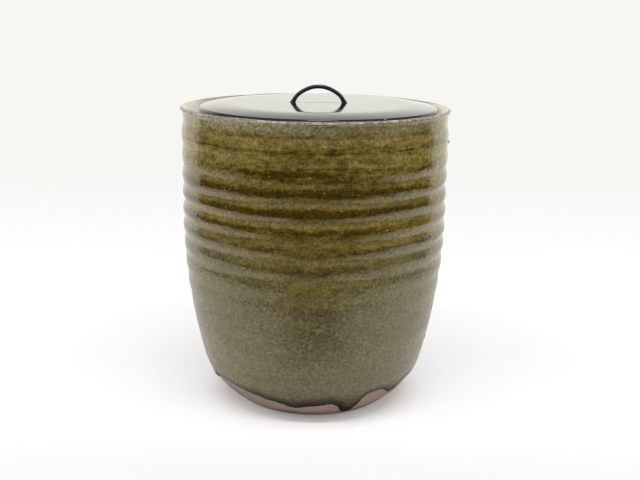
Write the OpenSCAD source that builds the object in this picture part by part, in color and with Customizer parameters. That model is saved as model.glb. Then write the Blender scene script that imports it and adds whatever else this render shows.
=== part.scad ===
// Mizusashi: a thrown stoneware water jar with an ash glaze and a black lacquered wooden lid.
// The origin is the centre of the base, +Z is up, and the front of the jar faces -Y.

/* [Jar] */
// Diameter across the lip
lip_d = 160; // [130:1:190]
// Height of the lip's widest point above the table
jar_h = 177; // [160:0.5:200]
// How far the lip stands out past the glazed wall
lip_over = 0.7; // [0.3:0.1:2]
// Diameter of the flat base
base_d = 90; // [80:1:100]
// Height at which the wall reaches its full width
belly_h = 116.5; // [100:0.5:130]
// How much narrower the tapered wall would be at table level, in radius
wall_taper = 20.2; // [14:0.1:22]
// Height at which the wall starts to turn in to the base
turn_h = 28; // [23:0.5:32]
// Height of the corner that the turn at the base rounds off
turn_corner_h = 11.5; // [8:0.5:14]
// Wall thickness
wall = 7; // [5:0.5:9]
// Thickness of the floor
floor_t = 8; // [6:0.5:12]

/* [Throwing rings] */
// Mean distance between two grooves
ring_pitch = 11; // [8:0.1:14]
// Depth of the deepest grooves
ring_depth = 1.8; // [0.4:0.1:2]
// How far the grooves wander from even spacing
ring_drift = 1.9; // [0:0.1:2.4]
// How much the spacing grows from one groove to the next lower on the wall
ring_open = 0.28; // [0:0.02:0.4]
// Height below which there are no grooves
ring_low = 46; // [40:1:62]
// Height from which the grooves have their full depth
ring_full = 125; // [95:1:135]
// Distance below the lip's widest point at which the grooves have turned shallow
ring_calm_drop = 21; // [14:0.5:30]
// Share of their depth that the grooves keep above that
ring_calm = 0.35; // [0.2:0.05:1]

/* [Rim] */
// Width of the rim that shows round the lid
rim_w = 9.5; // [8:0.5:14]
// Rise of the lip's crest above its widest point
crest_rise = 1.25; // [0.8:0.05:2]
// Distance of the crest from the lip's edge
crest_in = 2.5; // [2:0.1:3.5]
// Height of the lip's edge above the glaze that ends under it
lip_edge = 1.2; // [0.8:0.1:1.6]
// Depth of the lid's seat below the lip's widest point
seat_drop = 1.5; // [0.5:0.1:3]
// Width of the seat that the lid rests on
seat_w = 8.4; // [6:0.1:10]
// Height of the mouth's straight throat below the seat
throat_h = 8.5; // [7:0.5:11]
// Height over which the wall thickens inwards to the throat
gallery_h = 14; // [10:0.5:20]
// Height of the neck's narrowest point below the lip's widest point
neck_drop = 8.3; // [6:0.1:10]
// How far the neck draws in from the wall
neck_in = 1; // [0.5:0.1:1.6]

/* [Glaze] */
// Thickness of the glaze coats
glaze_t = 0.6; // [0.4:0.05:1]
// Height of the coat's lower edge at the middle of the jar
glaze_edge_h = 17; // [14:0.5:19]
// Tilt of the lower edge, from dipping the jar
glaze_tilt = 0.6; // [0:0.1:1.2]
// How far the runs and lumps stand out of the clay
run_t = 1.5; // [1:0.1:2]
// Width of a run where it leaves the coat, as a multiple of its width at the end
run_taper = 1.7; // [1:0.1:2]

/* [Lid] */
// Thickness of the lid board
lid_t = 4.8; // [4.4:0.1:7]
// Radius of the lid's flat middle
lid_flat_r = 52; // [30:0.5:56]
// Drop of the lid's shoulder from the flat to the edge
lid_drop = 1.8; // [1:0.1:2.4]
// Share of the shoulder's mean slope with which it starts at the flat's edge
lid_crease = 0.45; // [0.2:0.05:1]
// Radius of the round over the lid's edge
lid_nose = 1.3; // [0.8:0.1:1.6]
// Room that the lid has to shift sideways
lid_play = 2; // [1:0.1:3]
// How far to the right the lid lies, within its play
lid_shift = 1.8; // [0:0.1:2]
// Width of the locating ring under the lid
lid_ring_w = 5; // [4:0.5:8]
// Depth that the locating ring reaches below the board
lid_ring_h = 6.5; // [5:0.5:7]
// Depth that the ring is let into the board
lid_ring_let = 1; // [0.6:0.1:1.4]

/* [Handle] */
// Distance between the middles of the handle's feet
handle_span = 31.4; // [26:0.2:40]
// Height of the handle's centre line above the lid
handle_rise = 9.4; // [8:0.2:11]
// Slope of the handle's legs
handle_lean = 50; // [48:1:56]
// Thickness of the handle
handle_t = 2.4; // [1.8:0.1:3]
// Width of the handle from front to back
handle_w = 3.6; // [2.6:0.1:6]
// Diameter of the round tenons at the handle's feet
tenon_d = 1.8; // [1.4:0.1:2.2]
// Depth of the tenons in the lid
tenon_h = 3; // [2:0.1:3.2]

/* [Hidden] */

$fn = 96;
// Clearance of glued wooden joints
glue_gap = 0.05;
// Room between the lid's edge and the rim when the lid is shifted all the way
edge_gap = 0.35;
// Steps of a short curve, and of one ring between two grooves
curve_steps = 8;
ring_steps = 8;
// Rings in one cycle of the grooves' drift
drift_cycle = 9.5;
// Groove below which the spacing grows, and more grooves than any wall has
open_from = 3.5;
groove_limit = 40;
// Height above the coat's edge at which a run starts
run_start = 3;

lip_r = lip_d / 2;
wall_r = lip_r - lip_over - glaze_t;
seat_z = jar_h - seat_drop;
neck_z = jar_h - neck_drop;
throat_z = seat_z - throat_h;
lid_r = lip_r - rim_w;
seat_r = lid_r + lid_play + edge_gap;
mouth_r = seat_r - seat_w;
lid_ring_r = mouth_r - lid_play;
lid_top = seat_z + lid_t;
ring_count = len([for (k = [1:groove_limit]) if (groove_z(k) > ring_low) k]);

// Runs of glaze: angle from the front to the right, height of the lowest point, width at the end
runs = [[22, 3, 8], [50, 12.5, 6], [-7, 10, 14], [-33, 14.5, 8], [128, 9, 9], [205, 6, 8], [282, 10, 11]];
// Lumps in the coat: angle from the front to the right, height, width
lumps = [[88, 35, 5], [86, 158.5, 2.4]];

function mix(a, b, t) = a + (b - a) * t;
function clamp01(t) = min(1, max(0, t));
function reversed(list) = [for (i = [len(list) - 1:-1:0]) list[i]];

// Points of a curve from a to c that starts and ends towards the corner b, without a itself
function bend(a, b, c, steps = curve_steps) =
    [for (i = [1:steps]) let (t = i / steps) mix(mix(a, b, t), mix(b, c, t), t)];

// Radius of the wall without its rings
function plain_r(z) = wall_r - wall_taper * pow(max(0, belly_h - z) / belly_h, 2);
// Outward slope of the plain wall
function plain_slope(z) = 2 * wall_taper * max(0, belly_h - z) / pow(belly_h, 2);
// The turn at the base: its upper end, its corner on the wall's tangent, and the base's edge
function turn_points(out) = [
    [plain_r(turn_h) + out, turn_h],
    [plain_r(turn_h) + out - plain_slope(turn_h) * (turn_h - turn_corner_h), turn_corner_h],
    [base_d / 2 + out, 0]];
// Height of groove k, counted down from the neck
function groove_z(k) = neck_z - ring_pitch * k - ring_drift * sin(360 * k / drift_cycle)
    - ring_open / 2 * pow(max(0, k - open_from), 2);
// Depth of a groove at height z
function groove_depth(z) = ring_depth * clamp01((z - ring_low) / (ring_full - ring_low))
    * mix(1, ring_calm, clamp01(1 + (z - jar_h + ring_calm_drop) / ring_pitch));
// Wall from the lowest groove to the neck: one rounded ridge between each two grooves
function ringed_wall(out) = [
    for (k = [ring_count:-1:1])
        let (low = groove_z(k), high = groove_z(k - 1))
        for (i = [0:ring_steps - 1])
            let (t = i / ring_steps, z = mix(low, high, t))
            [plain_r(z) + out - groove_depth(z) * (1 - sin(180 * t)), z]
];
// Plain wall from the turn at the base to the lowest groove
function plain_wall(out) = [
    for (i = [0:curve_steps - 1])
        let (z = mix(turn_h, groove_z(ring_count), i / curve_steps))
        [plain_r(z) + out, z]
];
// Turn at the base, from the base's edge up to the wall
function base_turn(out) = let (p = turn_points(out)) reversed(bend(p[0], p[1], p[2]));
// Neck and the flare up to the lip's underside
function neck_flare(out) =
    let (low = [wall_r + out - neck_in, neck_z], high = [lip_r - lip_edge + out, jar_h - lip_edge])
    concat([low], bend(low, [low[0], mix(neck_z, high[1], 0.6)], high));
// The lip from its edge over the crest, then down to the lid's seat
function lip() = concat(
    [for (a = [0:15:90]) [lip_r - crest_in + crest_in * cos(a), jar_h + crest_rise * sin(a)]],
    bend([lip_r - crest_in, jar_h + crest_rise],
        [mix(seat_r, lip_r - crest_in, 0.5), jar_h + crest_rise], [seat_r, seat_z], curve_steps / 2));

// The outside of the clay, or of a coat on it, from the base's edge to the neck
function outside(out) = concat(base_turn(out), plain_wall(out), ringed_wall(out));

// The inside, with its surface moved in by a coat, from the middle of the floor to the throat
function inside(coat) =
    let (skin = wall + coat, low = floor_t + coat, foot_z = low + turn_h, top_z = throat_z - gallery_h)
    concat(
        [[0, low], [plain_r(foot_z) - skin - turn_h, low]],
        bend([plain_r(foot_z) - skin - turn_h, low], [plain_r(low) - skin, low], [plain_r(foot_z) - skin, foot_z]),
        [for (i = [1:curve_steps]) let (z = mix(foot_z, top_z, i / curve_steps)) [plain_r(z) - skin, z]],
        bend([plain_r(top_z) - skin, top_z], [plain_r(top_z) - skin, mix(top_z, throat_z, 0.6)],
            [mouth_r, throat_z - coat]));

module clay_jar() {
    color("rosybrown")
    rotate_extrude()
    polygon(concat([[0, 0]], outside(0), neck_flare(0), lip(), [[mouth_r, seat_z]], reversed(inside(0))));
}

// The clay jar as if it were solid, up to the lip's widest point
module clay_form() {
    rotate_extrude()
    polygon(concat([[0, 0]], outside(0), neck_flare(0), [[lip_r, jar_h], [0, jar_h]]));
}

// Thickness of a run at height z: it dies away into the coat above the coat's edge
function run_thickness(z) = run_t * clamp01((turn_h - z) / (turn_h - glaze_edge_h + run_start));
// A tongue of glaze down the turn at the base, with a round end, down to the jar's axis
module run(angle, low, width) {
    round_z = low + width / 2;
    top_z = glaze_edge_h + run_start;
    intersection() {
        rotate_extrude()
        polygon(concat([[0, 0]], [for (p = base_turn(0)) p + [run_thickness(p[1]), 0]], [[0, turn_h]]));
        rotate([0, 0, angle - 90])
        rotate([90, 0, 90])
        union() {
            linear_extrude(lip_r)
            polygon([[-width / 2, round_z], [width / 2, round_z],
                [width * run_taper / 2, top_z], [-width * run_taper / 2, top_z]]);
            translate([0, round_z, 0])
            cylinder(d = width, h = lip_r);
        }
    }
}

// A lump in the coat, sunk so that its rim on the clay has the given width
module lump(angle, z, width) {
    ball_r = (width * width / 4 + run_t * run_t) / (2 * run_t);
    rotate([0, 0, angle - 90])
    translate([plain_r(z) + run_t - ball_r, 0, z])
    sphere(ball_r);
}

module outer_glaze() {
    color("olive")
    difference() {
        union() {
            difference() {
                rotate_extrude()
                polygon(concat([[0, 0]], outside(glaze_t), neck_flare(glaze_t), [[0, jar_h - lip_edge]]));
                rotate([0, glaze_tilt, 0])
                translate([0, 0, glaze_edge_h - jar_h])
                cylinder(r = lip_d, h = jar_h);
            }
            for (r = runs)
                run(r[0], r[1], r[2]);
            for (l = lumps)
                lump(l[0], l[1], l[2]);
        }
        clay_form();
    }
}

module inner_glaze() {
    color("darkkhaki")
    rotate_extrude()
    polygon(concat(inside(0), reversed(inside(glaze_t))));
}

module lid_board() {
    shoulder_r = lid_r - lid_nose;
    shoulder = [for (i = [0:curve_steps]) let (t = i / curve_steps)
        [mix(lid_flat_r, shoulder_r, t), lid_top - lid_drop * t * mix(lid_crease, 1, t)]];
    nose = [for (a = [75:-15:0]) [shoulder_r + lid_nose * cos(a), lid_top - lid_drop - lid_nose * (1 - sin(a))]];
    color("black")
    translate([lid_shift, 0, 0])
    difference() {
        rotate_extrude()
        polygon(concat([[0, lid_top]], shoulder, nose, [
            [lid_r, seat_z],
            [lid_ring_r + glue_gap, seat_z],
            [lid_ring_r + glue_gap, seat_z + lid_ring_let],
            [lid_ring_r - lid_ring_w - glue_gap, seat_z + lid_ring_let],
            [lid_ring_r - lid_ring_w - glue_gap, seat_z],
            [0, seat_z]]));
        for (side = [-1, 1])
            translate([side * handle_span / 2, 0, lid_top - tenon_h - glue_gap])
            cylinder(d = tenon_d + 2 * glue_gap, h = tenon_h + 1);
    }
}

module lid_ring() {
    color("black")
    translate([lid_shift, 0, seat_z - lid_ring_h])
    rotate_extrude()
    translate([lid_ring_r - lid_ring_w, 0])
    square([lid_ring_w, lid_ring_h + lid_ring_let]);
}

// Rounded section of the handle
module handle_section() {
    polygon([for (a = [0:20:340]) [
        handle_t / 2 * sign(cos(a)) * pow(abs(cos(a)), 0.7),
        handle_w / 2 * sign(sin(a)) * pow(abs(sin(a)), 0.7)]]);
}

module lid_handle() {
    bow_r = (handle_span / 2 * tan(handle_lean) - handle_rise) / (1 / cos(handle_lean) - 1);
    leg = (handle_span / 2 - bow_r * sin(handle_lean)) / cos(handle_lean);
    color("black")
    translate([lid_shift, 0, lid_top]) {
        difference() {
            translate([0, 0, handle_rise - bow_r])
            rotate([90, 0, 0]) {
                rotate([0, 0, 90 - handle_lean])
                rotate_extrude(angle = 2 * handle_lean)
                translate([bow_r, 0])
                handle_section();
                for (side = [0, 1])
                    mirror([side, 0, 0])
                    rotate([0, 0, 90 - handle_lean])
                    translate([bow_r, 0, 0])
                    rotate([90, 0, 0])
                    linear_extrude(leg + handle_w)
                    handle_section();
            }
            translate([-handle_span, -handle_span, -handle_span])
            cube([2 * handle_span, 2 * handle_span, handle_span]);
        }
        for (side = [-1, 1])
            translate([side * handle_span / 2, 0, -tenon_h])
            cylinder(d = tenon_d, h = tenon_h + handle_t / 2);
    }
}

clay_jar();
outer_glaze();
inner_glaze();
lid_board();
lid_ring();
lid_handle();
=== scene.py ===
import math

import bpy
import numpy as np
from mathutils import Matrix, Vector


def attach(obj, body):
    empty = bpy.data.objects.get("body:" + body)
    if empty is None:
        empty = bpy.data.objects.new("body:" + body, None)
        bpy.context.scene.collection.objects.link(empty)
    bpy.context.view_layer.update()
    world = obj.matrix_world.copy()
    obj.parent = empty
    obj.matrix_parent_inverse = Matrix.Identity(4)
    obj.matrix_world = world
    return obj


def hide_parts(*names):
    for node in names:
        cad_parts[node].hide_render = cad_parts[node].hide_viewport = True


# A thrown stoneware water jar with an ash glaze and a black lacquered lid.
# Shapes are worked out in millimetres, with angles from the front to the right, and meshes are in metres.

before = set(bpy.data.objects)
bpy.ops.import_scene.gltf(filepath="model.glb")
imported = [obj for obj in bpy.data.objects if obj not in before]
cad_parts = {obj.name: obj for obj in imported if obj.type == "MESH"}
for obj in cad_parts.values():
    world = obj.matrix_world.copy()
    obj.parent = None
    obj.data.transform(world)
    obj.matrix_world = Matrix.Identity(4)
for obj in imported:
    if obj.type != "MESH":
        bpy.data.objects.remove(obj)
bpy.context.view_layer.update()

MM = 0.001
TAU = 2 * math.pi

# Jar
LIP_R = 80.0
JAR_H = 177.0
BASE_R = 45.0
BASE_EDGE = 1.4
BASE_MIDDLE_R = 20.0
BELLY_H = 116.5
WALL_TAPER = 20.2
TURN_H = 28.0
TURN_CORNER_H = 11.5
WALL = 7.0
FLOOR_T = 8.0
LIP_OVER = 0.7
GLAZE_T = 0.6
WALL_R = LIP_R - LIP_OVER - GLAZE_T

# Throwing rings
RING_PITCH = 11.0
RING_DEPTH = 1.8
RING_DRIFT = 1.9
RING_OPEN = 0.28
RING_LOW = 46.0
RING_FULL = 125.0
RING_CALM_DROP = 21.0
RING_CALM = 0.35
DRIFT_CYCLE = 9.5
OPEN_FROM = 3.5
GROOVE_LIMIT = 40
NECK_BLEND = 8.0
# Ring that is shallower than the rest: height, half height, share taken away
WEAK_RING_Z = 145.0
WEAK_RING_H = 6.0
WEAK_RING = 0.5
# Tone of the rings: shift down the ridge, most strength, length and start of its fading at the neck
RELIEF_SHIFT = 0.03
RELIEF_LIMIT = 1.3
RELIEF_FADE, RELIEF_FADE_START = 3.0, 0.3

# Rim
CREST_RISE = 1.25
CREST_IN = 2.5
LIP_EDGE = 1.2
SEAT_Z = JAR_H - 1.5
SEAT_W = 8.4
THROAT_Z = SEAT_Z - 8.5
GALLERY_H = 14.0
NECK_Z = JAR_H - 8.3
NECK_IN = 1.0
CORNER_PULL = 0.6

# Lid
LID_R = 70.5
LID_T = 4.8
LID_FLAT_R = 52.0
LID_DROP = 1.8
LID_CREASE = 0.1
LID_NOSE = 1.3
LID_NOSE_TURN = 76
LID_EDGE_H = 1.2
LID_EDGE_ROUND = 0.7
LID_SHIFT = 1.8
LID_TOP = SEAT_Z + LID_T
SEAT_R = LID_R + 2.35
MOUTH_R = SEAT_R - SEAT_W
LID_RING_R = MOUTH_R - 2.0
LID_RING_W = 5.0
LID_RING_H = 6.5
LID_RING_LET = 1.0
LID_RING_ROUND, LID_RING_TOP_ROUND = 0.8, 0.2
LID_GROOVE_ROUND, LID_GROOVE_EDGE = 0.1, 0.2
GLUE_GAP = 0.05
SEAM_W = 0.75
SEAM_END = 1.5
SEAM_REACH = 0.1

# Handle
HANDLE_SPAN = 31.4
HANDLE_RISE = 9.4
HANDLE_LEAN = math.radians(50)
HANDLE_T = 2.4
HANDLE_W = 3.6
HANDLE_SQUARENESS = 0.72
FOOT_FLARE = 0.6
FOOT_FLARE_H = 2.2
FOOT_SUNK = 0.4
LEG_BULGE = 0.55
LEG_BULGE_H = 7.5
LEG_START = 0.2
LEG_PAST = 1.6

# Glaze edge: mean height, least height, then the sags and runs as angle, depth, width to the left and right
EDGE_H = 18.4
EDGE_LEAST = 0.5
SAGS = [(-3, 7.0, 30, 22), (-10, 1.9, 6, 6), (22.8, 13.4, 8, 4.3), (49.5, 5.0, 6, 4),
        (-56, -1.3, 10, 10), (92, 6.0, 12, 9), (128, 9.0, 7, 6), (166, 4.5, 12, 14),
        (205, 12.0, 7, 5), (242, 5.0, 13, 10), (282, 8.0, 9, 8)]
SAG_SHAPE = 2.4
# Bead along the edge: sag that gives it in full, then thickness, height and roll, and what a full sag adds
BEAD_SAG = 9.0
BEAD_T, BEAD_ADDED_T = 0.25, 0.95
BEAD_H, BEAD_ADDED_H = 3.0, 3.0
ROLL_H, ROLL_ADDED_H = 0.9, 1.1
# Upper end of the glaze: height over the lip, share of the thickness, height of the thinning and of the roll
GLAZE_TOP = JAR_H + 0.98
TOP_THIN = 0.3
TOP_THIN_H = 4.0
TOP_ROLL_H = 0.7
TOP_LEAST = 0.02
# Lumps in the glaze: angle, height, width
LUMPS = [(88, 35.0, 5.0), (86, 158.5, 2.6)]
LUMP_T = 1.5
LUMP_FALL = 2.2
# Fine groove cut into the glaze below the neck: height, half width, depth, evenness
FINE_GROOVE_Z = 162.2
FINE_GROOVE_W = 0.7
FINE_GROOVE_T = 0.22
FINE_GROOVE_EVEN = 0.75
# Glaze in the rings' grooves: softness near the foot and above, its start and length, fading below the neck
FILL_LOW, FILL_HIGH = 0.55, 0.3
FILL_RISE = (80, 60)
FILL_FADE = 3.0
# How deep the hidden sides lie in the clay: back of the glaze on wall, turn and neck, core, inner glaze
BACK_SUNK = 0.9
BACK_TURN_SUNK = 0.5
BACK_NECK_SUNK = 1.2
CORE_SUNK = 1.2
CORE_GAP = 2.0
INNER_BACK_SUNK = 0.3
INNER_CLAY_COAT = 0.25

# Points round and along the pieces, or steps between them, the lip's in degrees
COLUMNS = 384
CLAY_COLUMNS = 288
INNER_COLUMNS = 256
LID_COLUMNS = 320
LID_RING_COLUMNS = 256
HANDLE_COLUMNS = 40
COAT_ROWS = 234
COAT_ROW_PULL = 0.085
BACK_ROWS = 14
TURN_STEPS, NECK_STEPS, LIP_STEP = 200, 60, 6
BASE_STEPS, BASE_EDGE_STEPS, SEAT_STEPS, INSIDE_STEPS = 12, 6, 14, 24
FOOT_POINTS, CORE_POINTS, FLOOR_POINTS, INSIDE_POINTS = 43, 24, 14, 60
LID_FLAT_POINTS, LID_SHOULDER_POINTS, LID_NOSE_POINTS = 60, 25, 16
BOW_POINTS, LEG_POINTS = 65, 12
# Small hole round the axis, that the fans of a closed piece fill
AXIS_R = 0.4
LID_AXIS_R = 0.3

# Noise round the jar: layers of strength, cells round it, height of a cell, seed
WANDER_NOISE = [(0.9, 5, 23, 11), (0.5, 17, 9, 12)]
DEPTH_NOISE = [(0.38, 6, 10, 13)]
EDGE_NOISE = [(0.5, 29, 1, 21), (0.35, 71, 1, 22)]
TOP_NOISE = [(0.16, 90, 1, 23)]
COAT_NOISE = [(0.14, 40, 6, 24)]
TONE_NOISE = [(0.6, 7, 17, 25), (0.45, 19, 8, 29)]
POOL_NOISE = [(1.2, 37, 1, 26)]
GROOVE_NOISE = [(1.3, 5, 1, 27)]
LINE_NOISE = [(0.25, 19, 1, 28)]
ASH_NOISE = [(1.6, 23, 1, 30)]
WORN_NOISE = [(0.16, 23, 4, 31), (0.07, 61, 4, 32)]
INNER_NOISE = [(0.15, 7, 14, 41)]
NOISE_ROWS = 61
NOISE_FIRST_ROW = 30
DEPTH_NOISE_STEP = 10
WORN_LEVEL = 5.0


def mix(a, b, t):
    return a + (b - a) * t


def smooth(t):
    t = np.clip(t, 0, 1)
    return t * t * (3 - 2 * t)


def rise(value, start, over):
    """0 up to the start, then smoothly to 1 over that length."""
    return smooth((value - start) / over)


def fall(value, start, over):
    """0 down to the start, then smoothly to 1 over that length below it."""
    return smooth((start - value) / over)


def bell(value, middle, width):
    return np.exp(-((value - middle) / width) ** 2)


def quarter_round(t, least=0.0):
    return np.sqrt(np.clip(1 - (1 - np.clip(t, 0, 1)) ** 2, least, 1))


def wrapped(degrees):
    return (degrees + 180) % 360 - 180


def bend(a, b, c, steps):
    """Points of a curve from a to c that starts and ends towards the corner b."""
    a, b, c = (np.array(p, float) for p in (a, b, c))
    t = np.linspace(0, 1, steps + 1)[:, None]
    return mix(mix(a, b, t), mix(b, c, t), t)


def ring_noise(theta, z, cells, height, seed):
    """Smooth noise from -1 to 1 that closes round the jar, with so many cells round it."""
    values = np.random.default_rng(seed).uniform(-1, 1, (NOISE_ROWS, cells))
    u = theta / TAU * cells
    v = z / height + NOISE_FIRST_ROW
    iu, iv = np.floor(u).astype(int), np.floor(v).astype(int)
    fu, fv = smooth(u - iu), smooth(v - iv)
    row, above = iv % NOISE_ROWS, (iv + 1) % NOISE_ROWS
    left, right = iu % cells, (iu + 1) % cells
    low = mix(values[row, left], values[row, right], fu)
    high = mix(values[above, left], values[above, right], fu)
    return mix(low, high, fv)


def unevenness(theta, z, layers):
    return sum(strength * ring_noise(theta, z, cells, height, seed)
               for strength, cells, height, seed in layers)


# Outside of the clay

def plain_radius(z):
    return WALL_R - WALL_TAPER * (np.maximum(0, BELLY_H - z) / BELLY_H) ** 2


TURN_SLOPE = 2 * WALL_TAPER * (BELLY_H - TURN_H) / BELLY_H ** 2
TURN_R = float(plain_radius(TURN_H))
TURN_CORNER = (TURN_R - TURN_SLOPE * (TURN_H - TURN_CORNER_H), TURN_CORNER_H)
TURN_CURVE = bend((BASE_R, 0), TURN_CORNER, (TURN_R, TURN_H), TURN_STEPS)
NECK_CORNER = (WALL_R - NECK_IN, mix(NECK_Z, JAR_H - LIP_EDGE, CORNER_PULL))
NECK_END = (LIP_R - LIP_EDGE, JAR_H - LIP_EDGE)
NECK_CURVE = bend((WALL_R - NECK_IN, NECK_Z), NECK_CORNER, NECK_END, NECK_STEPS)
LIP_ARC = np.radians(np.arange(0, 90 + LIP_STEP, LIP_STEP))
CREST_MIDDLE_R = LIP_R - CREST_IN
LIP_CREST = np.stack([CREST_MIDDLE_R + CREST_IN * np.cos(LIP_ARC), JAR_H + CREST_RISE * np.sin(LIP_ARC)], 1)
LIP_CURVE = np.vstack([NECK_CURVE, LIP_CREST])
GROOVE_NUMBERS = np.arange(GROOVE_LIMIT, -1, -1)
GROOVES = NECK_Z - RING_PITCH * GROOVE_NUMBERS - RING_DRIFT * np.sin(TAU * GROOVE_NUMBERS / DRIFT_CYCLE)
GROOVES = GROOVES - RING_OPEN / 2 * np.maximum(0, GROOVE_NUMBERS - OPEN_FROM) ** 2
GROOVES = GROOVES[GROOVES > RING_LOW]
RING_COUNT = len(GROOVES) - 1


def turn_radius(z):
    return np.interp(z, TURN_CURVE[:, 1], TURN_CURVE[:, 0])


def ring_place(theta, z):
    """The share of the way between two grooves, and the rings' depth."""
    settled = z + unevenness(theta, z, WANDER_NOISE) * fall(z, NECK_Z, NECK_BLEND)
    place = np.interp(settled, GROOVES, np.arange(RING_COUNT + 1))
    share = place - np.floor(place)
    depth = RING_DEPTH * np.clip((z - RING_LOW) / (RING_FULL - RING_LOW), 0, 1)
    depth = depth * mix(1, RING_CALM, np.clip(1 + (z - JAR_H + RING_CALM_DROP) / RING_PITCH, 0, 1))
    depth = depth * (1 + unevenness(theta, place * DEPTH_NOISE_STEP, DEPTH_NOISE))
    depth = depth * (1 - WEAK_RING * bell(z, WEAK_RING_Z, WEAK_RING_H))
    depth = mix(depth, NECK_IN, rise(z, NECK_Z - NECK_BLEND, NECK_BLEND))
    return share, depth


def clay_radius(theta, z):
    share, depth = ring_place(theta, z)
    ringed = plain_radius(z) - depth * (1 - np.sin(math.pi * share))
    r = np.where(z < GROOVES[0], plain_radius(z), ringed)
    r = np.where(z < TURN_H, turn_radius(z), r)
    return np.where(z > NECK_Z, np.interp(z, LIP_CURVE[:, 1], LIP_CURVE[:, 0]), r)


def ring_relief(theta, z):
    """1 where a ridge faces up, 0 where it faces down, and the strength of the rings there."""
    share, depth = ring_place(theta, z)
    relief = 0.5 - 0.5 * np.cos(TAU * (share - RELIEF_SHIFT))
    fade = smooth((NECK_Z - z) / RELIEF_FADE + RELIEF_FADE_START)
    strength = np.clip(depth / RING_DEPTH, 0, RELIEF_LIMIT) * fade
    return relief, np.where(z < GROOVES[0], 0, strength)


# Meshes

def link(made):
    bpy.context.scene.collection.objects.link(made)
    return made


def make_mesh(name, points, faces, material):
    mesh = bpy.data.meshes.new(name)
    mesh.from_pydata((np.asarray(points) * MM).tolist(), [], faces)
    mesh.polygons.foreach_set("use_smooth", np.ones(len(mesh.polygons), bool))
    mesh.materials.append(material)
    mesh.validate()
    mesh.update()
    return link(bpy.data.objects.new(name, mesh))


def grid_piece(name, grid, material, ends):
    """A piece from rows of points that each close on themselves. Its ends are joined, or closed by fans."""
    rows, cols = grid.shape[:2]
    points = grid.reshape(-1, 3)
    index = np.arange(rows * cols).reshape(rows, cols)
    low, high = index[:-1], index[1:]
    if ends == "joined":
        low, high = index, np.roll(index, -1, 0)
    quads = np.stack([low, np.roll(low, -1, 1), np.roll(high, -1, 1), high], -1).reshape(-1, 4)
    faces = quads.tolist()
    if ends == "closed":
        first, last = len(points), len(points) + 1
        points = np.vstack([points, grid[0].mean(0), grid[-1].mean(0)])
        for i in range(cols):
            k = (i + 1) % cols
            faces.append([first, int(index[0, k]), int(index[0, i])])
            faces.append([last, int(index[-1, i]), int(index[-1, k])])
    return make_mesh(name, points, faces, material)


def around(columns):
    return np.arange(columns) / columns * TAU


def lathe_grid(theta, r, z, centre_x=0.0):
    r, z, theta = np.broadcast_arrays(r, z, theta)
    return np.stack([centre_x + r * np.sin(theta), -r * np.cos(theta), z], -1)


def profile_grid(profile, columns, centre_x):
    """Rows of points from a profile of radii and heights."""
    profile = np.asarray(profile, float)
    return lathe_grid(around(columns)[None, :], profile[:, :1], profile[:, 1:], centre_x)


def rounded(corners, radii, steps=6):
    """A profile through corners, each one rounded off over its length."""
    out = []
    corners = [np.array(c, float) for c in corners]
    for i, corner in enumerate(corners):
        if i in (0, len(corners) - 1) or radii[i] == 0:
            out.append(corner[None])
            continue
        before, after = corners[i - 1] - corner, corners[i + 1] - corner
        start = corner + before / np.linalg.norm(before) * radii[i]
        end = corner + after / np.linalg.norm(after) * radii[i]
        out.append(bend(start, corner, end, steps))
    return np.vstack(out)


def set_attributes(piece, named_values):
    """Values for the first points of a piece, in the order of its grid. The points after them get 0."""
    for name, values in named_values.items():
        data = np.zeros(len(piece.data.vertices), np.float32)
        flat = np.asarray(values, np.float32).ravel()
        data[:len(flat)] = flat
        piece.data.attributes.new(name, "FLOAT", "POINT").data.foreach_set("value", data)


# Shader graphs

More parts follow.
